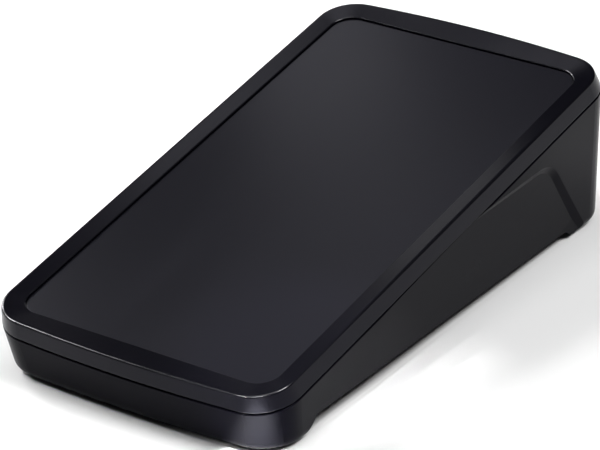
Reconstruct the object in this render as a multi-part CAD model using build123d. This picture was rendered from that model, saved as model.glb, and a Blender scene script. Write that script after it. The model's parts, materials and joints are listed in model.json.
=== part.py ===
from build123d import *
from math import cos, radians, sin
import os

# ---------------------------------------------------------------- driving dimensions (millimetres)
# Frame: X to the right, Y to the rear, Z up. Origin on the resting plane, under the middle of the case.

# The lid is a tilted tray. Its own frame has u across, v up the slope and n square to the slope.
slope_angle = 10.0
rim_front_y = -83.4         # front corner line of the rim, at the level of the rim's inner edge
rim_front_z = 16.67
crest_half_width = 42.5     # sharp outer edge of the rim
crest_length = 158.9
crest_height = 0.8          # how far the rim's outer edge stands above its inner edge
crest_corner = 10.2
crest_edge_round = 0.6
front_bow = 2.0             # the front and rear edges bulge outwards by this much
rear_bow = 2.5

rim_width = 4.9             # the glossy band between the outer edge and the sunk top panel
rim_front_extra = 0.5       # the band is a little wider along the front
panel_corner = 6.0
rim_inner_round = 0.3
panel_sink = 0.55           # step from the rim's inner edge down to the top panel
overlay_thick = 0.6
overlay_play = 0.12
overlay_edge_round = 0.2
lid_plate = 2.0

skirt_flare = 1.03          # the lid's skirt widens towards the parting line
skirt_depth = 4.1           # parting line below the rim's inner edge
skirt_front_grow = 0.3
skirt_rear_grow = 1.9
parting_corner = 11.5
parting_gap = 0.4
parting_edge_round = 0.25   # the edges on both sides of the parting line
lip_depth = 4.2             # the lid's locating lip, inside the base's walls
lip_thick = 2.0
lip_play = 0.3

wall = 2.6
foot_half_width = 42.0      # outline of the case on the table
foot_front_y = -80.5
foot_rear_y = 77.3
foot_corner = 11.6
foot_front_bow = 1.75
foot_round = 3.0
foot_proud = 0.5            # rubber pads stand this far below the moulded feet
floor_top = 7.6

belly_front_y = -69.6       # the raised belly between the front and rear feet
belly_front_step = 5.7
belly_front_z = 5.6
belly_rear_y = 60.4
belly_rear_step = 4.5
belly_rear_z = 3.1

grip_depth = 1.05           # shallow grip in each side wall, starting at nothing and deepest at its rear
grip_front_y = -38.0
grip_rear_y = 62.0
grip_corner_y = 42.8        # upper rear corner of the grip
grip_corner_z = 26.9
grip_corner_round = 11.0
grip_top_fall = 0.025       # its top edge drops this much for each millimetre forwards
grip_rear_lean = 0.886      # its rear edge runs back this much for each millimetre down
grip_slant = 2.1            # run of the sloping edge for each millimetre of depth

panel_face_y = 75.0         # outer face of the flat rear panel
panel_thick = 2.0
panel_back_y = panel_face_y - panel_thick
panel_top_z = 39.9
window_half = 35.0
window_floor_z = 8.4
groove_depth = 2.6
groove_play = 0.1
groove_rib = 2.4            # plastic in front of the panel's groove

screw_x = 35.4
screw_front_y = -60.0
screw_rear_y = 50.0
screw_shank_r = 1.45
screw_shank_length = 9.0
screw_head_r = 2.8
screw_head_height = 2.2
screw_point = 0.9
screw_slot = 0.6
boss_r = 4.2
lid_post_r = 3.4
counterbore_r = 3.1
clearance_r = 1.65
screw_play = 0.03
front_seat_z = 8.5
front_boss_top_z = 15.3
rear_seat_z = 23.5
rear_boss_top_z = 30.0

foot_pad_x = 32.0
foot_pad_ys = (-73.0, 67.4)
foot_pad_r = 4.2
foot_pad_thick = 1.5

# Circuit board and what is soldered to it.
board_half = 34.0
board_front_y = -54.5
board_rear_y = 70.4
board_thick = 1.6
board_bottom_z = 9.5
board_top_z = board_bottom_z + board_thick
board_screw_x = 29.0
board_screw_ys = (-48.5, 30.5)
board_screw_r = 1.0
board_post_r = 3.0
solder_lift = 0.1           # moulded packages stand this far off the board
lead_lift = 0.02

logic_chip_spot = (0.0, -4.0)
logic_chip_side = 23.0
logic_chip_height = 2.0
heat_sink_fins = 7
heat_sink_height = 8.0
heat_sink_base = 2.0
memory_spots = ((-23.0, -12.0), (-23.0, 6.0))
usb_chip_spot = (19.0, 38.0)
clock_spot = (20.0, 14.0)
comparator_xs = (-24.0, -14.0, -4.0, 6.0)
comparator_y = 45.0
comparator_width = 3.9
resistor_y = 54.5
regulator_spots = ((20.0, -10.0), (20.0, -22.0))
inductor_spot = (8.0, -32.0)
capacitor_spots = ((-10.0, -34.0), (-19.0, -34.0), (22.0, -36.0))
capacitor_r = 3.15

# Probe header: a shrouded double row of pins with a lever at each end.
header_x = -9.0
header_columns = 10
header_half = 16.5
header_height = 9.5
header_back_y = 65.4
header_front_y = 77.0
header_floor_y = 70.4
header_top_z = board_top_z + header_height
header_middle_z = board_top_z + header_height / 2
cavity_half = 14.4
cavity_half_z = 3.1
key_slot_half = 2.2
pin_pitch = 2.54
pin_side = 0.64
pin_tip_y = 75.8
pin_foot_y = 63.4
pin_tail_z = 8.2
latch_pivot_x = 19.0        # from the header's middle
latch_pivot_y = 68.2
latch_pin_r = 0.8
latch_bore_r = 0.87
latch_hub_r = 1.95
latch_thick = 3.9
latch_room = 24.4           # half-width of the header's opening in the rear panel
latch_groove_xs = (-1.2, 0.1, 1.4)
fork_reach = 21.4
fork_front_y = 70.8
fork_thick = 2.5

usb_x = 27.0
usb_half = 6.0
usb_height = 11.0
usb_back_y = 59.4
usb_front_y = 75.4
usb_middle_z = board_top_z + usb_height / 2
usb_mouth = (8.5, 7.8)
usb_mouth_chamfer = 1.8
usb_mouth_depth = 9.5

# Upper row: round sockets and controls that sit in holes of the rear panel.
upper_row_z = 30.0
trigger_x = -25.0
trigger_r = 4.8
trigger_bore_r = 4.05
trigger_reach = 10.4
trigger_flange_r = 7.0
trigger_lug_y = 6.6         # from the panel's face
insulator_r = 2.4
contact_r = 0.9
ground_x = -9.5
ground_r = 2.9
ground_bore_r = 2.0
ground_bore_depth = 12.0
ground_proud = 3.0
collar_r = 4.8
led_x = -0.2
led_r = 1.5
led_lead_pitch = 2.54
bezel_r = 2.6
reset_x = 6.8
reset_bushing_r = 2.95
reset_can_half = 3.8
reset_stem_r = 1.7
rocker_x = 16.6
rocker_rest_tilt = 8.0
rocker_pivot_depth = 1.5    # pivot below the panel's outer face
rocker_axle_r = 0.75
rocker_bezel = (5.4, 8.0)   # half-width and half-height
rocker_body = (4.6, 6.8)
rocker_well = (3.9, 6.0)
rocker_half = 3.55
rocker_body_depth = 11.0
inlet_x = 27.8
inlet_flange_r = 5.2
inlet_r = 3.95
inlet_bore_r = 2.85
inlet_pin_r = 1.0
nut_thick = 2.2
press_play = 0.02           # between parts pushed or soldered into each other
panel_hole_play = 0.05

slope_plane = Plane(
    origin=(0, rim_front_y, rim_front_z),
    x_dir=(1, 0, 0),
    z_dir=(0, -sin(radians(slope_angle)), cos(radians(slope_angle))),
)
slope_up = Axis(slope_plane.origin, slope_plane.z_dir)


# ---------------------------------------------------------------- helpers
def bowed_edge(start, end, bow):
    """Edge across the case, straight or bowed along Y."""
    if bow == 0:
        return Line(start, end)
    middle = ((start[0] + end[0]) / 2, start[1] + bow)
    return ThreePointArc(start, middle, end)


def bowed_outline(plane, half_width, front, rear, corner, bow_front=0, bow_rear=0):
    """Rounded rectangle with straight sides and outward-bowed ends, as a face on the plane."""
    front_edge = bowed_edge((-half_width, front), (half_width, front), -bow_front)
    right_edge = Line((half_width, front), (half_width, rear))
    rear_edge = bowed_edge((half_width, rear), (-half_width, rear), bow_rear)
    left_edge = Line((-half_width, rear), (-half_width, front))
    face = make_face([front_edge, right_edge, rear_edge, left_edge])
    return plane * fillet(face.vertices(), corner)


def slope_at(height):
    """The lid's frame, lifted square to the slope."""
    return slope_plane.offset(height)


def side_profile(x):
    """Plane square to X whose local axes are Y and Z."""
    return Plane(origin=(x, 0, 0), x_dir=(0, 1, 0), z_dir=(1, 0, 0))


def span(middle, half):
    """Range around a middle."""
    return middle - half, middle + half


def block(x_range, y_range, z_range):
    """Box from its three ranges, each given in either order."""
    ranges = [sorted(limits) for limits in (x_range, y_range, z_range)]
    size = [high - low for low, high in ranges]
    centre = [(high + low) / 2 for low, high in ranges]
    return Pos(*centre) * Box(*size)


def standing_rod(radius, length):
    """Cylinder that stands on the origin."""
    return Cylinder(radius, length, align=(Align.CENTER, Align.CENTER, Align.MIN))


def upright(x, y, z_low, z_high, radius):
    """Vertical cylinder between two heights."""
    return Pos(x, y, z_low) * standing_rod(radius, z_high - z_low)


def rearward(x, z, y_low, y_high, radius):
    """Cylinder along Y between two depths."""
    return Pos(x, y_low, z) * Rot(-90, 0, 0) * standing_rod(radius, y_high - y_low)


def on_panel(x, y_low, y_high, radius):
    """Cylinder of the upper row; depths are measured outwards from the rear panel's face."""
    return rearward(x, upper_row_z, panel_face_y + y_low, panel_face_y + y_high, radius)


def hex_nut(x, y_low, y_high, across_flats, bore_r):
    """Flat nut of the upper row."""
    prism = extrude(RegularPolygon(across_flats / 2, 6, major_radius=False), y_high - y_low)
    nut = Pos(x, y_low, upper_row_z) * Rot(-90, 0, 0) * prism
    return nut - rearward(x, upper_row_z, y_low - 1, y_high + 1, bore_r)


def back_nut(x, across_flats, bore_r):
    """Nut behind the rear panel."""
    return hex_nut(x, panel_back_y - nut_thick, panel_back_y, across_flats, bore_r)


def last_edges(solid, axis):
    """Edges of the face furthest along the axis."""
    return solid.faces().sort_by(axis)[-1].edges()


def first_edges(solid, axis):
    """Edges of the face furthest back along the axis."""
    return solid.faces().sort_by(axis)[0].edges()


def group(solids):
    return Compound(children=list(solids))


# ---------------------------------------------------------------- outlines of the case
def crest_face(height, inset=0.0):
    """Outer edge of the rim."""
    half = crest_half_width - inset
    rear = crest_length - inset
    return bowed_outline(slope_at(height), half, inset, rear, crest_corner - inset, front_bow, rear_bow)


def parting_face(height, inset=0.0):
    """Outline of the skirt's lower edge, which the base follows too."""
    half = crest_half_width + skirt_flare - inset
    front = inset - skirt_front_grow
    rear = crest_length + skirt_rear_grow - inset
    return bowed_outline(slope_at(height), half, front, rear, parting_corner - inset, front_bow, rear_bow)


def foot_face(height, inset=0.0):
    """Outline of the base near the table."""
    half = foot_half_width - inset
    front = foot_front_y + inset
    rear = foot_rear_y - inset
    level = Plane.XY.offset(height)
    return bowed_outline(level, half, front, rear, foot_corner - inset, foot_front_bow, rear_bow)


def panel_face(height, inset=0.0):
    """Straight-edged outline of the sunk top panel."""
    half = crest_half_width - rim_width - inset
    front = rim_width + rim_front_extra + inset
    rear = crest_length - rim_width - inset
    return bowed_outline(slope_at(height), half, front, rear, panel_corner - inset)


def screw_spots():
    """Case screws as (x, y, head seat, top of the base's boss)."""
    for side in (-1, 1):
        yield side * screw_x, screw_front_y, front_seat_z, front_boss_top_z
        yield side * screw_x, screw_rear_y, rear_seat_z, rear_boss_top_z


def board_screw_spots():
    for x in (-board_screw_x, board_screw_x):
        for y in board_screw_ys:
            yield x, y


def foot_pad_spots():
    for x in (-foot_pad_x, foot_pad_x):
        for y in foot_pad_ys:
            yield x, y


# ---------------------------------------------------------------- base
def grip_region():
    """Both grips' outline in side view, cut right across the case, with edges that slope outwards."""
    below = -10
    top_front_z = grip_corner_z - grip_top_fall * (grip_corner_y - grip_front_y)
    foot_y = grip_corner_y + grip_rear_lean * (grip_corner_z - below)
    corners = [
        (grip_front_y, below),
        (grip_front_y, top_front_z),
        (grip_corner_y, grip_corner_z),
        (foot_y, below),
    ]
    middle = make_face(Polyline(*corners, close=True))
    middle = fillet(middle.vertices().sort_by(Axis.Y)[-1], grip_corner_round)
    inner_x = foot_half_width - 0.8
    outer_x = inner_x + 3
    inner = offset(middle, -grip_slant, kind=Kind.INTERSECTION)
    outer = offset(middle, 2 * grip_slant, kind=Kind.INTERSECTION)
    return loft([side_profile(inner_x) * inner, side_profile(outer_x) * outer], ruled=True)


def leaning_outline(plane, half_width, start):
    """Outline whose long sides follow the case's walls at `start` and lean inwards behind it."""
    lean = grip_depth / (grip_rear_y - grip_front_y)
    ahead = 60
    behind = 125
    front = half_width + lean * ahead
    rear = half_width - lean * behind
    y_front = start - ahead
    y_rear = start + behind
    corners = ((-front, y_front), (front, y_front), (rear, y_rear), (-rear, y_rear))
    return plane * make_face(Polyline(*corners, close=True))


def grip_core():
    """What stays between the grips: the case's own walls, turned slightly inwards towards the rear."""
    slope_start = (grip_front_y - rim_front_y) / cos(radians(slope_angle))
    low = leaning_outline(Plane.XY.offset(foot_proud), foot_half_width, grip_front_y)
    parting_plane = slope_at(-skirt_depth - parting_gap)
    high = leaning_outline(parting_plane, crest_half_width + skirt_flare, slope_start)
    return loft([low, high], ruled=True)


def base_grips():
    right = grip_region() - grip_core()
    return right + mirror(right, Plane.YZ)


def base_shell():
    """Hollow outer body of the base."""
    outer = loft([foot_face(foot_proud), parting_face(-skirt_depth - parting_gap)], ruled=True)
    outer = fillet(first_edges(outer, Axis.Z), foot_round)
    outer = fillet(last_edges(outer, slope_up), parting_edge_round)
    hollow = loft([foot_face(floor_top, wall), parting_face(1, wall)], ruled=True)
    return outer - hollow


def belly():
    """Space under the raised middle of the base."""
    profile = make_face(Polyline(
        (belly_front_y, -1),
        (belly_front_y, 0),
        (belly_front_y + belly_front_step, belly_front_z),
        (belly_rear_y - belly_rear_step, belly_rear_z),
        (belly_rear_y, 0),
        (belly_rear_y, -1),
        close=True,
    ))
    return extrude(side_profile(0) * profile, 60, both=True)


def groove_ribs():
    """Uprights at both sides that carry the rear panel's groove."""
    lower = foot_face(floor_top - 1, wall - 1)
    upper = parting_face(-skirt_depth - parting_gap, wall - 1)
    inside = loft([lower, upper], ruled=True)
    depth = (panel_back_y - groove_rib, panel_face_y + 2)
    for side in (-1, 1):
        x_range = (side * (window_half - 0.8), side * foot_half_width)
        yield block(x_range, depth, (floor_top - 0.5, 60)) & inside


def bottom_case():
    base = base_shell() - belly() - base_grips()
    for rib in groove_ribs():
        base += rib
    for x, y, seat_z, top_z in screw_spots():
        base += upright(x, y, floor_top - 0.5, top_z, boss_r)
    for x, y in board_screw_spots():
        base += upright(x, y, floor_top - 0.5, board_bottom_z, board_post_r)
        base -= upright(x, y, floor_top - 1.0, board_bottom_z + 1, board_screw_r + screw_play)
    for x, y, seat_z, top_z in screw_spots():
        base -= upright(x, y, -1, seat_z, counterbore_r)
        base -= upright(x, y, seat_z - 1, top_z + 1, clearance_r)
    for x, y in foot_pad_spots():
        base -= upright(x, y, -1, foot_pad_thick, foot_pad_r + 0.1)
    window = span(0, window_half)
    groove = span(0, window_half + groove_depth)
    groove_y = (panel_back_y - groove_play, panel_face_y + groove_play)
    base -= block(window, (panel_back_y - 6, 90), (window_floor_z, 60))
    return base - block(groove, groove_y, (floor_top, 60))


# ---------------------------------------------------------------- lid
def lid_tray():
    """Dished rim band and the pocket of the top panel, with a rounded edge between them."""
    edge = crest_face(crest_height + 0.01, crest_edge_round + 0.1)
    dish = loft([panel_face(0), edge], ruled=True)
    tray = dish + extrude(panel_face(0), -panel_sink - overlay_thick)
    meeting = [edge for edge in tray.edges() if abs(slope_plane.to_local_coords(edge.center()).Z) < 0.01]
    return fillet(meeting, rim_inner_round)


def lid_lip(plate_bottom):
    """Locating lip around the inside of the base's walls."""
    outer = extrude(parting_face(plate_bottom + 0.1, wall), -lip_depth)
    inner = extrude(parting_face(plate_bottom + 0.2, wall + lip_thick), -2 * lip_depth)
    room = loft([foot_face(floor_top, wall + lip_play), parting_face(1, wall + lip_play)], ruled=True)
    lip = (outer - inner) & room
    lip -= block(span(0, screw_x + 8), (panel_face_y - 9, 100), (0, 60))
    for x, y, seat_z, top_z in screw_spots():
        lip -= upright(x, y, 0, 60, boss_r + 0.6)
    return lip


def top_cover():
    plate_bottom = -panel_sink - overlay_thick - lid_plate
    outer = loft([parting_face(-skirt_depth), crest_face(crest_height)], ruled=True)
    outer = fillet(last_edges(outer, slope_up), crest_edge_round)
    outer = fillet(first_edges(outer, slope_up), parting_edge_round)
    cover = outer - lid_tray()
    cover -= extrude(parting_face(plate_bottom, wall - 0.2), -5)
    cover += lid_lip(plate_bottom)
    underside = extrude(parting_face(plate_bottom + 0.5, wall), -60)
    for x, y, seat_z, top_z in screw_spots():
        bore_top = seat_z + screw_shank_length + 0.3
        cover += upright(x, y, top_z + 0.2, 60, lid_post_r) & underside
        cover -= upright(x, y, top_z - 1, bore_top, screw_shank_r + screw_play)
    return cover


def panel_overlay():
    overlay = extrude(panel_face(-panel_sink, overlay_play), -overlay_thick)
    return fillet(last_edges(overlay, slope_up), overlay_edge_round)


# ---------------------------------------------------------------- screws and feet
def cross_slot(x, y, half, z_range):
    """Cross recess of a screw head."""
    thin = screw_slot / 2
    return block(span(x, half), span(y, thin), z_range) + block(span(x, thin), span(y, half), z_range)


def case_screws():
    for x, y, seat_z, top_z in screw_spots():
        face_z = seat_z - screw_head_height
        head = upright(x, y, face_z, seat_z, screw_head_r)
        head = fillet(first_edges(head, Axis.Z), 0.6)
        shank = upright(x, y, seat_z, seat_z + screw_shank_length, screw_shank_r)
        shank = chamfer(last_edges(shank, Axis.Z), screw_point)
        yield head + shank - cross_slot(x, y, 1.6, (face_z - 1, face_z + 1.1))


def board_screws():
    for x, y in board_screw_spots():
        head = upright(x, y, board_top_z, board_top_z + 1.6, 2.3)
        head = fillet(last_edges(head, Axis.Z), 0.5)
        shank = upright(x, y, floor_top - 0.6, board_top_z, board_screw_r)
        yield head + shank - cross_slot(x, y, 1.4, (board_top_z + 0.8, board_top_z + 3))


def rubber_feet():
    for x, y in foot_pad_spots():
        pad = upright(x, y, 0, foot_pad_thick, foot_pad_r)
        yield chamfer(first_edges(pad, Axis.Z), 0.3)


# ---------------------------------------------------------------- rear panel
def rear_panel():
    half = window_half + groove_depth - 0.2
    depth = (panel_back_y - 1, panel_face_y + 1)
    low = board_top_z - 0.2
    sheet = block(span(0, half), (panel_back_y, panel_face_y), (floor_top + 0.1, panel_top_z))
    sheet -= block(span(header_x, latch_room), depth, (low, header_top_z + 0.3))
    sheet -= block(span(usb_x, usb_half + 0.2), depth, (low, board_top_z + usb_height + 0.2))
    sheet -= block(span(rocker_x, rocker_body[0] + 0.1), depth, span(upper_row_z, rocker_body[1] + 0.1))
    holes = (
        (trigger_x, trigger_r),
        (ground_x, ground_r + 0.1),
        (led_x, 2.1),
        (reset_x, reset_bushing_r + panel_hole_play),
        (inlet_x, inlet_r + panel_hole_play),
    )
    for x, radius in holes:
        sheet -= rearward(x, upper_row_z, *depth, radius)
    return sheet


# ---------------------------------------------------------------- circuit board
def header_pin_spots():
    """Pin axes as (x, row height, y of the bent-down tail)."""
    for column in range(header_columns):
        x = header_x + (column - (header_columns - 1) / 2) * pin_pitch
        yield x, header_middle_z - pin_pitch / 2, pin_foot_y
        yield x, header_middle_z + pin_pitch / 2, pin_foot_y - pin_pitch


def main_board():
    board = block(span(0, board_half), (board_front_y, board_rear_y), (board_bottom_z, board_top_z))
    for x in (-screw_x, screw_x):
        board -= upright(x, screw_rear_y, 0, 20, boss_r + 0.5)
    for x, y in board_screw_spots():
        board -= upright(x, y, 0, 20, 1.4)
    for x, z, tail_y in header_pin_spots():
        board -= upright(x, tail_y, 0, 20, 0.5)
    return board


def chip(spot, size, height):
    """Moulded package with a small dot in one corner."""
    x, y = spot
    half_x, half_y = size[0] / 2, size[1] / 2
    low = board_top_z + solder_lift
    high = low + height
    body = block(span(x, half_x), span(y, half_y), (low, high))
    body = chamfer(last_edges(body, Axis.Z), 0.15)
    return body - upright(x - half_x + 1.2, y + half_y - 1.2, high - 0.1, high + 1, 0.4)


def memory_chips():
    for spot in memory_spots:
        yield chip(spot, (10, 14), 1.1)


def input_comparators():
    for x in comparator_xs:
        yield chip((x, comparator_y), (comparator_width, 10.0), 1.5)


def comparator_leads():
    """Stepped leads along both sides of each comparator."""
    per_side = 7
    pitch = 1.27
    low = board_top_z + lead_lift
    for x in comparator_xs:
        for side in (-1, 1):
            edge_x = x + side * comparator_width / 2
            for index in range(per_side):
                width = span(comparator_y + (index - (per_side - 1) / 2) * pitch, 0.18)
                shoulder = block((edge_x, edge_x + side * 0.5), width, (low, board_top_z + 0.7))
                foot = block((edge_x + side * 0.3, edge_x + side * 1.2), width, (low, low + 0.2))
                yield shoulder + foot


def heat_sink():
    x, y = logic_chip_spot
    half = logic_chip_side / 2
    low = board_top_z + solder_lift + logic_chip_height
    pitch = logic_chip_side / heat_sink_fins
    sink = block(span(x, half), span(y, half), (low, low + heat_sink_height))
    for index in range(1, heat_sink_fins):
        gap = span(x - half + index * pitch, 1.1)
        sink -= block(gap, span(y, half + 1), (low + heat_sink_base, low + heat_sink_height + 1))
    return sink


def clock_can():
    x, y = clock_spot
    can = block(span(x, 3.5), span(y, 2.5), (board_top_z + solder_lift, board_top_z + 1.8))
    return fillet(last_edges(can, Axis.Z), 0.4)


def power_inductor():
    x, y = inductor_spot
    body = block(span(x, 5), span(y, 5), (board_top_z + solder_lift, board_top_z + 4.2))
    return chamfer(body.edges().filter_by(Axis.Z), 1.2)


def storage_capacitors():
    for x, y in capacitor_spots:
        can = upright(x, y, board_top_z + solder_lift, board_top_z + 6.6, capacitor_r)
        can = fillet(last_edges(can, Axis.Z), 0.5)
        neck_z = (board_top_z + 1.4, board_top_z + 1.9)
        neck = upright(x, y, *neck_z, capacitor_r + 1) - upright(x, y, *neck_z, capacitor_r - 0.25)
        yield can - neck


def regulators():
    low = board_top_z + solder_lift
    for x, y in regulator_spots:
        body = block(span(x, 3.25), span(y, 1.75), (low, board_top_z + 1.7))
        tab = block(span(x, 1.5), (y + 1.75, y + 3.5), (low, board_top_z + 0.35))
        yield body + tab


def resistor_networks():
    for x in comparator_xs:
        yield block(span(x, 3.2), span(resistor_y, 0.8), (board_top_z + lead_lift, board_top_z + 0.6))


# ---------------------------------------------------------------- probe header and its latches
def header_shroud():
    body = block(span(header_x, header_half), (header_back_y, header_front_y), (board_top_z, header_top_z))
    body -= block(span(header_x, cavity_half), (header_floor_y, 90), span(header_middle_z, cavity_half_z))
    key_slot_z = (header_middle_z, header_top_z + 1)
    body -= block(span(header_x, key_slot_half), (header_floor_y + 1, 90), key_slot_z)
    for side in (-1, 1):
        ear = (header_x + side * header_half, header_x + side * fork_reach)
        for edge_z, inwards in ((board_top_z, 1), (header_top_z, -1)):
            body += block(ear, (header_back_y, fork_front_y), (edge_z, edge_z + inwards * fork_thick))
        body -= upright(header_x + side * latch_pivot_x, latch_pivot_y, 0, 30, latch_pin_r + press_play)
    slot = pin_side / 2 + 0.01
    for x, z, tail_y in header_pin_spots():
        body -= block(span(x, slot), (header_back_y - 1, header_floor_y + 1), span(z, slot))
    return body


def header_pins():
    half = pin_side / 2
    for x, z, tail_y in header_pin_spots():
        run = block(span(x, half), (tail_y - half, pin_tip_y), span(z, half))
        run = chamfer(last_edges(run, Axis.Y), 0.15)
        yield run + block(span(x, half), span(tail_y, half), (pin_tail_z, z))


def header_latch(side):
    """Lever that locks the probe lead's plug: hub, arm, hook and thumb tab with grooves across its end."""
    tab_end_y = 11.2
    outline = Polyline(
        (-1.9, 0), (-1.9, 8.6),                        # inner side of the arm
        (-3.4, 9.4), (-3.4, 10.2),                     # hook
        (-2.2, tab_end_y), (2.0, tab_end_y), (3.4, 9.6),  # thumb tab
        (1.5, 7.6), (1.5, 0),                          # outer side of the arm
        close=True,
    )
    profile = make_face(outline) + Circle(latch_hub_r) - Circle(latch_bore_r)
    lever = extrude(profile, latch_thick)
    for groove_x in latch_groove_xs:
        lever -= block(span(groove_x, 0.22), span(tab_end_y, 0.25), (-1, latch_thick + 1))
    if side < 0:
        lever = mirror(lever, Plane.YZ)
    return Pos(header_x + side * latch_pivot_x, latch_pivot_y, header_middle_z - latch_thick / 2) * lever


def latch_pins():
    for side in (-1, 1):
        x = header_x + side * latch_pivot_x
        yield upright(x, latch_pivot_y, board_top_z + 0.4, header_top_z - 0.4, latch_pin_r)


# ---------------------------------------------------------------- other sockets and controls on the panel
def usb_shell():
    height = (board_top_z, board_top_z + usb_height)
    shell = block(span(usb_x, usb_half), (usb_back_y, usb_front_y), height)
    shell = fillet(shell.edges().filter_by(Axis.Y), 0.6)
    mouth = Pos(usb_x, usb_middle_z) * Rectangle(*usb_mouth)
    mouth = chamfer(mouth.vertices().sort_by(Axis.Y)[-2:], usb_mouth_chamfer)
    mouth_plane = Plane(origin=(0, usb_front_y + 1, 0), x_dir=(1, 0, 0), z_dir=(0, -1, 0))
    return shell - extrude(mouth_plane * mouth, usb_mouth_depth + 1)


def usb_tongue():
    depth = (usb_front_y - usb_mouth_depth, usb_front_y - 1.0)
    tongue = block(span(usb_x, 2.8), depth, span(usb_middle_z, 1.6))
    return chamfer(last_edges(tongue, Axis.Y), 0.4)


def trigger_shell():
    body = on_panel(trigger_x, -9, trigger_reach, trigger_r - panel_hole_play)
    flange = on_panel(trigger_x, 0, 1.6, trigger_flange_r)
    flange = chamfer(last_edges(flange, Axis.Y), 0.4)
    lugs = Rot(0, 90, 0) * Cylinder(1.0, 11.4)
    body = body + flange + Pos(trigger_x, panel_face_y + trigger_lug_y, upper_row_z) * lugs
    body -= on_panel(trigger_x, 1.0, trigger_reach + 1, trigger_bore_r)
    return body - on_panel(trigger_x, -10, 2, insulator_r)


def trigger_insulator():
    sleeve = on_panel(trigger_x, -8, 7.4, insulator_r - press_play)
    return sleeve - on_panel(trigger_x, -12, 9, contact_r + press_play)


def trigger_contact():
    return on_panel(trigger_x, -11, 7.0, contact_r) - on_panel(trigger_x, 2, 9, 0.48)


def ground_socket():
    tube = on_panel(ground_x, ground_proud - ground_bore_depth - 3, ground_proud, ground_r)
    return tube - on_panel(ground_x, ground_proud - ground_bore_depth, ground_proud + 1, ground_bore_r)


def ground_collar():
    collar = on_panel(ground_x, 0, ground_proud + 0.2, collar_r)
    collar = fillet(last_edges(collar, Axis.Y), 0.8)
    return collar - on_panel(ground_x, -1, 5, ground_r + press_play)


def status_led():
    body = on_panel(led_x, -4.5, 0.6, led_r) + on_panel(led_x, -4.5, -3.6, led_r + 0.35)
    body += Pos(led_x, panel_face_y + 0.6, upper_row_z) * Sphere(led_r)
    for side in (-1, 1):
        lead_x = led_x + side * led_lead_pitch / 2
        body += block(span(lead_x, 0.25), (panel_face_y - 14, panel_face_y - 4.4), span(upper_row_z, 0.25))
    return body


def led_bezel():
    ring = on_panel(led_x, 0, 1.0, bezel_r)
    ring = fillet(last_edges(ring, Axis.Y), 0.4)
    sleeve = on_panel(led_x, -3.4, 0, 2.1 - panel_hole_play)
    return ring + sleeve - on_panel(led_x, -5, 3, led_r + panel_hole_play)


def reset_body():
    can_depth = (panel_face_y - 9, panel_face_y - 3)
    bushing = on_panel(reset_x, -3.2, 1.4, reset_bushing_r)
    can = block(span(reset_x, reset_can_half), can_depth, span(upper_row_z, reset_can_half))
    return bushing + can - on_panel(reset_x, -5, 3, 2.0) - on_panel(reset_x, -7.6, -3.6, 3.0)


def reset_nut():
    return hex_nut(reset_x, panel_face_y, panel_face_y + 1.2, 7.2, reset_bushing_r + press_play)


def reset_cap():
    stem = on_panel(reset_x, -4.5, 3.2, reset_stem_r)
    stem = fillet(last_edges(stem, Axis.Y), 0.4)
    return stem + on_panel(reset_x, -5.2, -4.0, 2.6)


def rocker_pivot():
    return Pos(rocker_x, panel_face_y - rocker_pivot_depth, upper_row_z)


def rocker_housing():
    face = panel_face_y
    bezel = block(span(rocker_x, rocker_bezel[0]), (face, face + 1.4), span(upper_row_z, rocker_bezel[1]))
    bezel = fillet(bezel.edges().filter_by(Axis.Y), 0.8)
    bezel = chamfer(last_edges(bezel, Axis.Y), 0.5)
    body_y = (face - rocker_body_depth, face)
    body = block(span(rocker_x, rocker_body[0]), body_y, span(upper_row_z, rocker_body[1]))
    well = block(span(rocker_x, rocker_well[0]), (face - 6, face + 3), span(upper_row_z, rocker_well[1]))
    axle_hole = rocker_pivot() * Rot(0, 90, 0) * Cylinder(rocker_axle_r + press_play, 20)
    return bezel + body - well - axle_hole


def rocker_axle():
    return rocker_pivot() * Rot(0, 90, 0) * Cylinder(rocker_axle_r, 9.0)


def rocker():
    """Paddle with a shallow V across its face; one end is pressed in at rest."""
    profile = make_face(Polyline(
        (-5.3, 0.6), (-5.3, 3.2), (0, 2.2), (5.3, 3.2), (5.3, 0.6), (1.6, -1.4), (0, -3.0), (-1.6, -1.4),
        close=True,
    ))
    profile = profile - Circle(rocker_axle_r + panel_hole_play)
    side_plane = Plane(origin=(0, 0, 0), x_dir=(0, 0, 1), z_dir=(-1, 0, 0))
    paddle = extrude(side_plane * profile, rocker_half, both=True)
    return rocker_pivot() * Rot(-rocker_rest_tilt, 0, 0) * paddle


def rocker_terminals():
    back = panel_face_y - rocker_body_depth
    for z in span(upper_row_z, 3.5):
        blade = block(span(rocker_x, 2.4), (back - 6.5, back), span(z, 0.4))
        yield blade - Pos(rocker_x, back - 4.5, z) * Cylinder(0.7, 3)


def inlet_barrel():
    flange = on_panel(inlet_x, 0, 1.6, inlet_flange_r)
    flange = fillet(last_edges(flange, Axis.Y), 0.5)
    barrel = flange + on_panel(inlet_x, -10, 0, inlet_r)
    barrel -= on_panel(inlet_x, -8.5, 3, inlet_bore_r)
    return barrel - on_panel(inlet_x, -11, -8, inlet_pin_r + press_play)


def inlet_pin():
    pin = on_panel(inlet_x, -13, -0.6, inlet_pin_r)
    return fillet(last_edges(pin, Axis.Y), 0.4)


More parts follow.
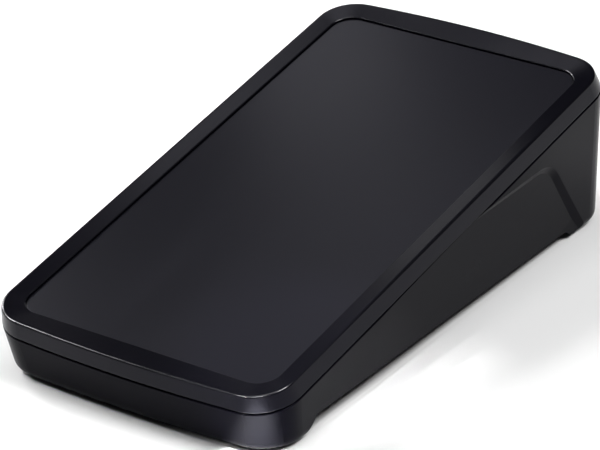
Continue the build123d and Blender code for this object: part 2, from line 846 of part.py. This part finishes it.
# ---------------------------------------------------------------- nodes
parts = {
    "bottom_case": bottom_case(),
    "top_cover": top_cover(),
    "panel_overlay": panel_overlay(),
    "case_screws": group(case_screws()),
    "rubber_feet": group(rubber_feet()),
    "rear_panel": rear_panel(),
    "main_board": main_board(),
    "board_screws": group(board_screws()),
    "logic_chip": chip(logic_chip_spot, (logic_chip_side, logic_chip_side), logic_chip_height),
    "heat_sink": heat_sink(),
    "memory_chips": group(memory_chips()),
    "usb_controller_chip": chip(usb_chip_spot, (10, 10), 1.4),
    "clock_crystal": clock_can(),
    "input_comparators": group(input_comparators()),
    "comparator_leads": group(comparator_leads()),
    "resistor_networks": group(resistor_networks()),
    "voltage_regulators": group(regulators()),
    "power_inductor": power_inductor(),
    "storage_capacitors": group(storage_capacitors()),
    "probe_header": header_shroud(),
    "probe_header_pins": group(header_pins()),
    "header_latch_left": header_latch(-1),
    "header_latch_right": header_latch(1),
    "latch_pivot_pins": group(latch_pins()),
    "usb_socket_shell": usb_shell(),
    "usb_socket_tongue": usb_tongue(),
    "trigger_socket": trigger_shell(),
    "trigger_insulator": trigger_insulator(),
    "trigger_contact": trigger_contact(),
    "trigger_nut": back_nut(trigger_x, 12.0, trigger_r - press_play),
    "ground_socket": ground_socket(),
    "ground_socket_collar": ground_collar(),
    "ground_socket_nut": back_nut(ground_x, 8.5, ground_r + press_play),
    "status_led": status_led(),
    "led_bezel": led_bezel(),
    "reset_switch_body": reset_body(),
    "reset_switch_nut": reset_nut(),
    "reset_button": reset_cap(),
    "power_switch_housing": rocker_housing(),
    "power_switch_axle": rocker_axle(),
    "power_switch_rocker": rocker(),
    "power_switch_terminals": group(rocker_terminals()),
    "power_inlet": inlet_barrel(),
    "power_inlet_pin": inlet_pin(),
    "power_inlet_nut": back_nut(inlet_x, 9.6, inlet_r + press_play),
}

os.makedirs("parts", exist_ok=True)
for name, shape in parts.items():
    export_step(shape, f"parts/{name}.step")
    print(name, round(shape.volume), shape.bounding_box())
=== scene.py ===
# %% [markdown]
# # A bench logic analyzer, finished in Blender
# The imported CAD model is the fixed frame: it says where every part is. This script gives the parts
# their surfaces, adds the small things that repeat, and lights the result like a small product on a
# table. All lengths are in metres.

import json
from math import atan2, cos, pi, radians, sin, sqrt, tan

import bmesh
import bpy
from mathutils import Matrix, Vector


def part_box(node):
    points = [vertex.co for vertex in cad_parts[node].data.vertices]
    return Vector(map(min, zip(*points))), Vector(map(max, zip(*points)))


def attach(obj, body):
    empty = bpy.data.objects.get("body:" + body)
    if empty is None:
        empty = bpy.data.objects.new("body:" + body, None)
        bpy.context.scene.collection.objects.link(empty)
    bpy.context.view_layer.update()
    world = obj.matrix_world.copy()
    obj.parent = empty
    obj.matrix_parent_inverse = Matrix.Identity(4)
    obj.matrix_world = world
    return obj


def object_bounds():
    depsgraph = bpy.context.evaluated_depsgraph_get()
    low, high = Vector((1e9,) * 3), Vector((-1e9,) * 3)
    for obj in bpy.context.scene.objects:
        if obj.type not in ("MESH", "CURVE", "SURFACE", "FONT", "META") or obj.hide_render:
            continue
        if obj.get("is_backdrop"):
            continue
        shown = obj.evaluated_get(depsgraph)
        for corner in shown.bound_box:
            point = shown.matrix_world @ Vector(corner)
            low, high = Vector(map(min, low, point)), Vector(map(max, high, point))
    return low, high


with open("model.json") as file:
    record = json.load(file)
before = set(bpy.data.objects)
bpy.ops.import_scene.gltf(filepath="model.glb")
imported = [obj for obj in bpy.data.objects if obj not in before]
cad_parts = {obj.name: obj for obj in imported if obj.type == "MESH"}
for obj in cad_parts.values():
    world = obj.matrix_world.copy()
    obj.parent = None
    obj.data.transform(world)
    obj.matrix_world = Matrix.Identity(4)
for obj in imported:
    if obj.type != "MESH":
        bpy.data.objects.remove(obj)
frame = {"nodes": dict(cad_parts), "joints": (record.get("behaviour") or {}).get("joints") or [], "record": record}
cad_low, cad_high = (Vector(corner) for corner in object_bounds())
cad_bounds = [list(cad_low), list(cad_high)]
MM = 0.001
print("CAD box in mm:", [round(side / MM, 1) for side in cad_high - cad_low])

# %% [markdown]
# ## Shader arithmetic as plain Python
# A procedural surface is mostly sums: noise times a strength plus a base value. Wiring each Math node
# by hand hides that. This small class wraps one output socket and overloads the operators, so that
# `0.3 + grain * 0.05` builds the nodes. `node` is the one method that makes anything else.

# %% A socket that can be added, multiplied and compared
class Signal:
    """One output socket of a material's node tree."""

    def __init__(self, tree, socket):
        self.tree = tree
        self.socket = socket

    def node(self, kind, settings=None, inputs=None, output=0):
        """Adds a node: its settings first, then values or links for its sockets."""
        made = self.tree.nodes.new(kind)
        for name, value in (settings or {}).items():
            if name == "stops":
                set_ramp(made, value)
            else:
                setattr(made, name, value)
        for key, value in (inputs or {}).items():
            if isinstance(value, Signal):
                self.tree.links.new(value.socket, made.inputs[key])
            else:
                made.inputs[key].default_value = value
        return Signal(self.tree, made.outputs[output])

    def math(self, operation, *values, clamp=False):
        settings = {"operation": operation, "use_clamp": clamp}
        return self.node("ShaderNodeMath", settings, dict(enumerate(values)))

    def __add__(self, other):
        return self.math("ADD", self, other)

    def __sub__(self, other):
        return self.math("SUBTRACT", self, other)

    def __mul__(self, other):
        return self.math("MULTIPLY", self, other)

    def __rsub__(self, other):
        return self.math("SUBTRACT", other, self)

    def __abs__(self):
        return self.math("ABSOLUTE", self)

    __radd__ = __add__
    __rmul__ = __mul__

    def step(self, low, high, at_low=0.0, at_high=1.0):
        """Smooth change from at_low to at_high while the signal goes from low to high."""
        settings = {"interpolation_type": "SMOOTHSTEP"}
        return self.node("ShaderNodeMapRange", settings, {0: self, 1: low, 2: high, 3: at_low, 4: at_high})

    def dot(self, direction):
        """Length of a vector signal along a fixed direction."""
        return self.node("ShaderNodeVectorMath", {"operation": "DOT_PRODUCT"}, {0: self, 1: direction}, output=1)

    def noise(self, size, detail=2.0, roughness=0.5, stretch=(1, 1, 1)):
        """Noise whose blobs are about `size` metres across; self is a position."""
        scaled = self.node("ShaderNodeMapping", {}, {0: self, 3: stretch})
        inputs = {"Vector": scaled, "Scale": 1 / size, "Detail": detail, "Roughness": roughness}
        return self.node("ShaderNodeTexNoise", {"noise_dimensions": "3D"}, inputs)

    def mix_colour(self, dark, light):
        """A colour between two, with self as the factor."""
        settings = {"data_type": "RGBA", "clamp_factor": True}
        return self.node("ShaderNodeMix", settings, {0: self, 6: dark, 7: light}, output=2)


def set_ramp(ramp_node, stops):
    """Fills a Color Ramp from a list of (position, colour)."""
    elements = ramp_node.color_ramp.elements
    while len(elements) < len(stops):
        elements.new(0.5)
    for element, (place, colour) in zip(elements, stops):
        element.position = place
        element.color = colour


print("shader helper ready")

# %% [markdown]
# ## One recipe for all finishes
# Every material starts the same way: a Principled shader and the Object position, which on these
# pieces is the position in the whole device. A finish is then a function that receives that position
# and returns what varies. Fixed values go straight onto the shader's own sockets.

# %% Material maker
def new_material(name, finish, **fixed):
    """finish(place) returns {socket name: Signal}; the key "height" becomes a Bump, in metres."""
    material = bpy.data.materials.new(name)
    material.use_nodes = True
    tree = material.node_tree
    shader = tree.nodes["Principled BSDF"]
    for socket_name, value in fixed.items():
        shader.inputs[socket_name.replace("_", " ")].default_value = value
    place = Signal(tree, tree.nodes.new("ShaderNodeTexCoord").outputs["Object"])
    varying = finish(place)
    height = varying.pop("height", None)
    if height is not None:
        bump = place.node("ShaderNodeBump", {}, {"Strength": 1.0, "Distance": 1.0, "Height": height})
        varying["Normal"] = bump
    for socket_name, signal in varying.items():
        tree.links.new(signal.socket, shader.inputs[socket_name])
    return material


def rgb(red, green, blue):
    return (red, green, blue, 1.0)


def grey(value, blue=1.0):
    return rgb(value, value, value * blue)


# %% [markdown]
# ## Finishes
# Moulded ABS is never one flat black. Its skin copies the mould's spark-eroded texture, it is
# polished by fingers in places, and large flat walls shine unevenly. So each plastic has three
# layers of noise: a broad one for the gloss, a fine one for the grain and a bump at grain size.

# %% Plastics
CASE_BLACK = (0.0019, 0.0018, 0.0034)
COOL = (0.80, 0.79, 1.0, 1.0)


def shades(colour, spread):
    """A darker and a lighter version of one colour."""
    return tuple(rgb(*(channel * factor for channel in colour)) for factor in (1 - spread, 1 + spread))


def moulded_plastic(name, colour, rough, grain_size=0.35 * MM, grain_height=0.003 * MM, patch=0.05, **fixed):
    """Plastic whose skin copies an eroded mould: broad patches of gloss over a fine grain."""
    dark, light = shades(colour, 0.15)

    def finish(place):
        broad = place.noise(18 * MM)
        grain = place.noise(grain_size, roughness=0.6)
        return {
            "Base Color": broad.mix_colour(dark, light),
            "Roughness": rough + (broad - 0.5) * patch + (grain - 0.5) * 0.04,
            "height": grain * grain_height,
        }

    return new_material(name, finish, **fixed)


base_plastic = moulded_plastic("base_textured_abs", CASE_BLACK, 0.26, Specular_IOR_Level=0.042,
                               Specular_Tint=COOL)
rear_plastic = moulded_plastic("rear_panel_abs", (0.007, 0.007, 0.009), 0.44, Specular_IOR_Level=0.25)
header_plastic = moulded_plastic("header_polyester", (0.010, 0.010, 0.011), 0.38, 0.2 * MM)
latch_plastic = moulded_plastic("latch_nylon", (0.045, 0.046, 0.050), 0.42, 0.2 * MM)
switch_plastic = moulded_plastic("switch_nylon", (0.010, 0.010, 0.011), 0.30, 0.2 * MM)
button_plastic = moulded_plastic("button_red_abs", (0.36, 0.020, 0.016), 0.30, 0.2 * MM)
collar_plastic = moulded_plastic("collar_green_nylon", (0.010, 0.14, 0.035), 0.34, 0.2 * MM)
insulator_plastic = moulded_plastic("insulator_ptfe", (0.72, 0.71, 0.67), 0.45, 0.3 * MM)
tongue_plastic = moulded_plastic("tongue_polyester", (0.55, 0.55, 0.52), 0.42, 0.2 * MM)
chip_plastic = moulded_plastic("chip_epoxy", (0.016, 0.016, 0.017), 0.55, 0.12 * MM, 0.006 * MM)
print("moulded plastics:", sum(1 for material in bpy.data.materials if material.users == 0))

# %% [markdown]
# The lid is one moulding with two skins: its skirt is textured like the base and its rim band is
# polished. Polishing marks run along the slope, so the gloss noise is stretched that way. The panel
# film is printed from a roll: its streaks are longer still and cross the panel at a slant, which is
# what makes a blank dark panel read as a film and not as a hole.

# %% Lid and panel film
slope = radians(10)
uphill = Vector((0, cos(slope), sin(slope)))


def lid_finish(place):
    streak = place.noise(9 * MM, detail=3.0, stretch=(1.0, 0.25, 0.25))
    grain = place.noise(0.35 * MM, roughness=0.6)
    dark, light = shades(CASE_BLACK, 0.2)
    lean = place.node("ShaderNodeNewGeometry", output=1).dot((0, -sin(slope), cos(slope)))
    return {
        "Coat Weight": lean.step(0.35, 0.50) * lean.step(0.94, 0.975, 1.0, 0.0) * 0.9,
        "Base Color": streak.mix_colour(dark, light),
        "Roughness": 0.24 + (streak - 0.5) * 0.08 + (grain - 0.5) * 0.03,
        "height": grain * (0.0015 * MM),
    }


def film_finish(place):
    across = place.dot((0.82, 0.40, 0.40))
    wide = place.noise(40 * MM, detail=2.0, stretch=(1.0, 0.35, 0.35))
    streak = place.noise(6 * MM, detail=3.0, stretch=(1.0, 0.08, 0.08))
    grain = place.noise(0.16 * MM, roughness=0.6)
    sheen = across.step(-55 * MM, 45 * MM)
    dark, light = shades(CASE_BLACK, 0.2)
    return {
        "Base Color": wide.mix_colour(dark, light),
        "Roughness": 0.34 + sheen * 0.05 + (wide - 0.5) * 0.10 + (streak - 0.5) * 0.03 + (grain - 0.5) * 0.04,
        "height": grain * (0.0015 * MM),
    }


lid_plastic = new_material("lid_polished_abs", lid_finish, Specular_IOR_Level=0.125, Specular_Tint=COOL,
                           Coat_Roughness=0.2)
panel_film = new_material("satin_panel_film", film_finish, Specular_IOR_Level=0.32, Specular_Tint=COOL)
print("lid and film:", lid_plastic.name, panel_film.name)

# %% [markdown]
# Bare metals show how they were made. Turned parts have fine rings, plated ones have soft clouds,
# extruded aluminium has lines along its length. `lines` chooses the direction that the scratches
# follow: the noise is stretched along it.

# %% Metals
def metal(name, colour, rough, lines=(1, 1, 1), cloud=0.08, **fixed):
    """Plated or drawn metal with soft clouds and fine lines."""
    dark, light = shades(colour, 0.10)

    def finish(place):
        clouds = place.noise(4 * MM, detail=3.0)
        scratch = place.noise(0.25 * MM, detail=3.0, roughness=0.7, stretch=lines)
        return {
            "Base Color": clouds.mix_colour(dark, light),
            "Roughness": rough + (clouds - 0.5) * cloud + (scratch - 0.5) * 0.10,
            "height": scratch * (0.002 * MM),
        }

    return new_material(name, finish, Metallic=1.0, **fixed)


screw_steel = metal("screw_zinc_plate", (0.55, 0.56, 0.58), 0.34)
socket_metal = metal("socket_nickel", (0.66, 0.63, 0.58), 0.22, lines=(1, 0.1, 1))
can_metal = metal("can_drawn_steel", (0.60, 0.60, 0.60), 0.28, lines=(0.1, 1, 1))
lead_metal = metal("lead_tin", (0.72, 0.72, 0.73), 0.36)
contact_gold = metal("contact_gold_plate", (0.90, 0.64, 0.26), 0.22, lines=(1, 0.1, 1))
heat_sink_metal = metal("heat_sink_anodised", (0.10, 0.10, 0.11), 0.40, lines=(1, 0.04, 1))
print("metals ready")

# %% [markdown]
# ## Board, rubber, ferrite and the lamp
# A circuit board isn't plain green either: the solder mask is lighter where copper runs under it.
# Straight tracks are stripes of a repeating coordinate, and noise decides where they start and stop.

# %% Board and small parts
def stripes(signal, pitch, share):
    """1 on the given share of every pitch, else 0."""
    phase = signal.math("FRACT", signal * (1 / pitch))
    return phase.math("LESS_THAN", phase, share)


def board_finish(place):
    regions = place.noise(11 * MM, detail=1.0)
    along = stripes(place.dot((1, 0, 0)), 1.1 * MM, 0.34)
    across = stripes(place.dot((0, 1, 0)), 1.3 * MM, 0.30)
    choose = regions.math("GREATER_THAN", regions, 0.5)
    tracks = along * choose + across * (1 - choose)
    present = place.noise(5 * MM, detail=0.0)
    copper = tracks * present.math("GREATER_THAN", present, 0.47)
    weave = place.noise(0.4 * MM)
    return {
        "Base Color": copper.mix_colour(rgb(0.004, 0.045, 0.018), rgb(0.010, 0.110, 0.040)),
        "Roughness": 0.30 + (weave - 0.5) * 0.10,
        "height": copper * (0.020 * MM) + weave * (0.004 * MM),
    }


def rubber_finish(place):
    grain = place.noise(0.5 * MM, detail=3.0, roughness=0.7)
    return {
        "Base Color": grain.mix_colour(rgb(0.012, 0.012, 0.012), rgb(0.024, 0.024, 0.024)),
        "Roughness": 0.72 + (grain - 0.5) * 0.20,
        "height": grain * (0.02 * MM),
    }


def ferrite_finish(place):
    speck = place.noise(0.3 * MM, detail=4.0, roughness=0.8)
    return {
        "Base Color": speck.mix_colour(rgb(0.020, 0.020, 0.022), rgb(0.070, 0.070, 0.075)),
        "Roughness": 0.60 + (speck - 0.5) * 0.2,
        "height": speck * (0.01 * MM),
    }


def lamp_finish(place):
    cloud = place.noise(1.5 * MM)
    return {
        "Base Color": cloud.mix_colour(rgb(0.05, 0.30, 0.10), rgb(0.09, 0.42, 0.16)),
        "Roughness": 0.14 + cloud * 0.08,
    }


board_laminate = new_material("board_solder_mask", board_finish)
foot_rubber = new_material("foot_rubber", rubber_finish)
ferrite = new_material("ferrite_core", ferrite_finish)
led_green = new_material("lamp_green_epoxy", lamp_finish, Transmission_Weight=0.35)

# %% [markdown]
# ## Each node takes its finish from its slot
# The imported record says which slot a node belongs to. Two nodes share the case's slot but not its
# skin: the polished lid gets its own material.

# %% Hand out the finishes
slot_finish = {
    "case_plastic": base_plastic,
    "overlay_film": panel_film,
    "rear_panel_plastic": rear_plastic,
    "foot_rubber": foot_rubber,
    "screw_steel": screw_steel,
    "board_laminate": board_laminate,
    "chip_plastic": chip_plastic,
    "lead_metal": lead_metal,
    "heat_sink_metal": heat_sink_metal,
    "can_metal": can_metal,
    "ferrite": ferrite,
    "header_plastic": header_plastic,
    "contact_gold": contact_gold,
    "latch_plastic": latch_plastic,
    "socket_metal": socket_metal,
    "insulator_plastic": insulator_plastic,
    "tongue_plastic": tongue_plastic,
    "led_green": led_green,
    "switch_plastic": switch_plastic,
    "button_plastic": button_plastic,
    "collar_plastic": collar_plastic,
}
for part in frame["record"]["subparts"]:
    node_name = part["node"]
    material = lid_plastic if node_name == "top_cover" else slot_finish[part["material_slot"]]
    node = frame["nodes"][node_name]
    node.data.materials.clear()
    node.data.materials.append(material)

# %% [markdown]
# ## Small things that repeat
# Chip leads, solder joints and grip ridges follow a rule, so a node tree makes them: a line of points,
# one small shape, and an instance of it on every point. The tree ends in Realize Instances and Set
# Material, and the result is kept as a plain mesh. A tree's inputs are named, so the same rule serves
# every row: only the numbers change.

# %% Rule: a row of copies
def row_rule(name, shape):
    """Node tree that puts a shape on every point of a line. shape(first, sockets) returns the shape."""
    tree = bpy.data.node_groups.new(name, "GeometryNodeTree")
    tree.interface.new_socket("Geometry", in_out="OUTPUT", socket_type="NodeSocketGeometry")
    kinds = {
        "Count": "NodeSocketInt",
        "Start": "NodeSocketVector",
        "Step": "NodeSocketVector",
        "Size": "NodeSocketVector",
        "Turn": "NodeSocketVector",
        "Material": "NodeSocketMaterial",
    }
    for socket_name, kind in kinds.items():
        tree.interface.new_socket(socket_name, in_out="INPUT", socket_type=kind)
    entry = tree.nodes.new("NodeGroupInput")
    given = {socket_name: Signal(tree, entry.outputs[socket_name]) for socket_name in kinds}
    count = given["Count"]
    line = count.node("GeometryNodeMeshLine", {"mode": "OFFSET"},
                      {"Count": count, "Start Location": given["Start"], "Offset": given["Step"]})
    copies = count.node("GeometryNodeInstanceOnPoints", {},
                        {"Points": line, "Instance": shape(count, given), "Rotation": given["Turn"]})
    solid = count.node("GeometryNodeRealizeInstances", {}, {"Geometry": copies})
    painted = count.node("GeometryNodeSetMaterial", {}, {"Geometry": solid, "Material": given["Material"]})
    leave = tree.nodes.new("NodeGroupOutput")
    tree.links.new(painted.socket, leave.inputs["Geometry"])
    return tree


def block_shape(first, given):
    return first.node("GeometryNodeMeshCube", {}, {"Size": given["Size"]})


def cone_shape(first, given):
    """Solder cone, wide end up."""
    inputs = {"Vertices": 20, "Radius Top": 0.75 * MM, "Radius Bottom": 0.42 * MM, "Depth": 0.5 * MM}
    return first.node("GeometryNodeMeshCone", {}, inputs)


block_row = row_rule("row_of_blocks", block_shape)
cone_row = row_rule("row_of_solder_cones", cone_shape)
print("rules:", block_row.name, cone_row.name)


# %% Grow rows into one plain mesh
def grow(name, rows, rule, material, body):
    """One piece from several rows. Each row is (count, start, step, size, turn)."""
    grown = bmesh.new()
    for count, start, step, size, turn_ in rows:
        host = bpy.data.objects.new("host", bpy.data.meshes.new("host"))
        bpy.context.scene.collection.objects.link(host)
        modifier = host.modifiers.new("rule", "NODES")
        modifier.node_group = rule
        values = {"Count": count, "Start": start, "Step": step, "Size": size, "Turn": turn_, "Material": material}
        for item in rule.interface.items_tree:
            if item.in_out == "INPUT":
                modifier[item.identifier] = values[item.name]
        ready = host.evaluated_get(bpy.context.evaluated_depsgraph_get())
        mesh = bpy.data.meshes.new_from_object(ready)
        grown.from_mesh(mesh)
        bpy.data.objects.remove(host)
        bpy.data.meshes.remove(mesh)
    mesh = bpy.data.meshes.new(name)
    grown.to_mesh(mesh)
    grown.free()
    mesh.materials.append(material)
    piece = bpy.data.objects.new(name, mesh)
    bpy.context.scene.collection.objects.link(piece)
    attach(piece, body)
    print(name, len(mesh.polygons), "faces")
    return piece


LEVEL = (0.0, 0.0, 0.0)
board_low, board_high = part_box("main_board")
board_top = board_high.z


def lead_rows(chip_low, chip_high, per_side, sides):
    """Rows of flat lead feet along the chosen sides of a chip."""
    middle = (chip_low + chip_high) / 2
    half = (chip_high - chip_low) / 2
    reach = 1.1 * MM
    for axis, side in sides:
        other = 1 - axis
        pitch = 2 * half[other] * 0.86 / (per_side - 1)
        start = Vector((0, 0, board_top + 0.14 * MM))
        start[axis] = middle[axis] + side * (half[axis] + reach / 2 - 0.05 * MM)
        start[other] = middle[other] - pitch * (per_side - 1) / 2
        step = Vector()
        step[other] = pitch
        size = Vector((0, 0, 0.18 * MM))
        size[axis] = reach
        size[other] = pitch * 0.45
        yield per_side, start, step, size, LEVEL


chip_low, chip_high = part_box("usb_controller_chip")
all_round = [(0, -1), (0, 1), (1, -1), (1, 1)]
grow("usb_controller_leads", list(lead_rows(chip_low, chip_high, 12, all_round)), block_row,
     lead_metal, "case")

memory_low, memory_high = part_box("memory_chips")
memory_length = 14 * MM
memory_rows = []
for low_y in (memory_low.y, memory_high.y - memory_length):
    low = Vector((memory_low.x, low_y, memory_low.z))
    high = Vector((memory_high.x, low_y + memory_length, memory_high.z))
    memory_rows += lead_rows(low, high, 22, [(0, -1), (0, 1)])
grow("memory_chip_leads", memory_rows, block_row, lead_metal, "case")

# %% Solder joints under the probe header
pins_low, pins_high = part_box("probe_header_pins")
pin_pitch = 2.54 * MM
pin_side = 0.64 * MM
first_pin_x = pins_low.x + pin_side / 2
solder_z = board_low.z - 0.25 * MM
solder_rows = []
for row in range(2):
    tail_y = pins_low.y + pin_side / 2 + row * pin_pitch
    solder_rows.append((10, Vector((first_pin_x, tail_y, solder_z)), Vector((pin_pitch, 0, 0)), LEVEL, LEVEL))
grow("header_solder_joints", solder_rows, cone_row, lead_metal, "case")

# %% [markdown]
# The rocker gets three low ridges on each half, so that a fingertip finds it behind the device. They
# ride on the rocker's own body, so they tip with it.

# %% Ridges on the rocker
rock = next(joint for joint in frame["joints"] if joint["child"] == "power_rocker")
pivot = Vector(rock["pos_m"])
rocker_low, rocker_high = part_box("power_switch_rocker")
rest_tilt = radians(-8)
face_slope = atan2(1.0, 5.3)
valley = 2.2 * MM
ridge_size = Vector((4.6 * MM, 0.30 * MM, 0.34 * MM))
ridge_rows = []
for half in (-1, 1):
    for along in (2.5 * MM, 3.3 * MM, 4.1 * MM):
        outwards = valley + along * tan(face_slope) + 0.04 * MM
        spot = Matrix.Rotation(rest_tilt, 3, "X") @ Vector((0, outwards, half * along))
        turn_x = rest_tilt - half * face_slope
        ridge_rows.append((1, pivot + spot, LEVEL, ridge_size, (turn_x, 0, 0)))
grow("rocker_ridges", ridge_rows, block_row, switch_plastic, "power_rocker")

# %% [markdown]
# ## Table, light and camera

# %% Camera
VIEW_AZIMUTH = radians(34.5)
VIEW_ELEVATION = radians(26.6)
VIEW_ROLL = radians(-0.68)
VIEW_DISTANCE = 0.868
LENS = 203.9
aim = Vector((-0.3 * MM, -8.4 * MM, 20.9 * MM))

back = Vector((
    sin(VIEW_AZIMUTH) * cos(VIEW_ELEVATION),
    -cos(VIEW_AZIMUTH) * cos(VIEW_ELEVATION),
    sin(VIEW_ELEVATION),
))
camera = bpy.data.objects.new("camera", bpy.data.cameras.new("camera"))
bpy.context.scene.collection.objects.link(camera)
camera.data.lens = LENS
camera.data.sensor_width = 36.0
camera.data.clip_start = 0.01
camera.rotation_mode = "QUATERNION"
camera.location = aim + back * VIEW_DISTANCE
turn = Matrix.Rotation(VIEW_ROLL, 3, back)
camera.rotation_quaternion = (turn @ (-back).to_track_quat("-Z", "Y").to_matrix()).to_quaternion()
bpy.context.scene.camera = camera
print("camera at", [round(value, 3) for value in camera.location])

# %% Floor and light
def area_light(name, place, target, size, power):
    data = bpy.data.lights.new(name, "AREA")
    data.shape = "RECTANGLE"
    data.size, data.size_y = size
    data.energy = power
    lamp = bpy.data.objects.new(name, data)
    bpy.context.scene.collection.objects.link(lamp)
    lamp.location = place
    lamp.rotation_mode = "QUATERNION"
    lamp.rotation_quaternion = (Vector(target) - Vector(place)).to_track_quat("-Z", "Y")
    return lamp


floor_mesh = bpy.data.meshes.new("floor")
half_floor = 6.0
floor_mesh.from_pydata(
    [(-half_floor, -half_floor, 0), (half_floor, -half_floor, 0), (half_floor, half_floor, 0), (-half_floor, half_floor, 0)],
    [], [(0, 1, 2, 3)],
)
floor = bpy.data.objects.new("floor", floor_mesh)
bpy.context.scene.collection.objects.link(floor)
floor_paint = bpy.data.materials.new("pale_floor")
floor_paint.use_nodes = True
floor_shader = floor_paint.node_tree.nodes["Principled BSDF"]
floor_shader.inputs["Base Color"].default_value = grey(0.9)
floor_shader.inputs["Roughness"].default_value = 0.6
floor_shader.inputs["Specular IOR Level"].default_value = 0.2
floor_mesh.materials.append(floor_paint)
floor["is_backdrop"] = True

world = bpy.data.worlds.new("studio")
world.use_nodes = True
world.node_tree.nodes["Background"].inputs["Color"].default_value = grey(1.0)
world.node_tree.nodes["Background"].inputs["Strength"].default_value = 0.02
bpy.context.scene.world = world
bpy.context.scene.view_settings.view_transform = "Standard"


def from_direction(azimuth, elevation, distance):
    """Point seen from the device: azimuth from the front towards the right, both in degrees."""
    flat = cos(radians(elevation)) * distance
    return aim + Vector((
        sin(radians(azimuth)) * flat,
        -cos(radians(azimuth)) * flat,
        sin(radians(elevation)) * distance,
    ))


def lamp_power(radiance, size):
    """Power of an area light with a given brightness."""
    return radiance * pi * size[0] * size[1]


area_light("high_softbox", (-0.17, 0.24, 0.40), aim, (0.08, 0.08), 0.058)
area_light("near_corner_lamp", (-0.102, 0.130, 0.125), (-0.03, 0.06, 0.04), (0.05, 0.05), 0.009)
area_light("near_left_lamp", (-0.36, 0.06, 0.22), aim, (0.10, 0.10), 0.8)
area_light("band_lamp", (-0.33, 0.27, 0.29), aim, (0.03, 0.03), 0.004)
area_light("left_key", from_direction(285, 42, 1.2), aim, (0.4, 0.4), 11)
area_light("right_fill", from_direction(95, 55, 1.2), aim, (0.4, 0.4), 11)
area_light("top_fill", from_direction(0, 88, 1.6), aim, (0.9, 0.9), 6)
corner = Vector((0.032, -0.073, 0.018))
for azimuth in (-22, -8, 6, 20, 34):
    spark_data = bpy.data.lights.new("corner_spark", "SPOT")
    spark_data.energy = 12
    spark_data.spot_size = radians(3.2)
    spark_data.spot_blend = 0.3
    spark_data.shadow_soft_size = 0.006
    spark = bpy.data.objects.new("corner_spark", spark_data)
    bpy.context.scene.collection.objects.link(spark)
    outwards = Vector((sin(radians(azimuth)), -cos(radians(azimuth)), 0))
    target = corner - outwards * 0.014
    spark.location = target + (from_direction(azimuth, 42, 0.9) - aim)
    spark.rotation_mode = "QUATERNION"
    spark.rotation_quaternion = (target - spark.location).to_track_quat("-Z", "Y")

patch = Vector((0.0415, -0.0895, 0.0))
spot_data = bpy.data.lights.new("floor_spot", "SPOT")
spot_data.energy = 230
spot_data.spot_size = radians(2.2)
spot_data.spot_blend = 0.25
spot_data.shadow_soft_size = 0.005
spot = bpy.data.objects.new("floor_spot", spot_data)
bpy.context.scene.collection.objects.link(spot)
spot.location = patch + Vector((0.22, -0.16, 0.45))
spot.rotation_mode = "QUATERNION"
spot.rotation_quaternion = (patch - spot.location).to_track_quat("-Z", "Y")
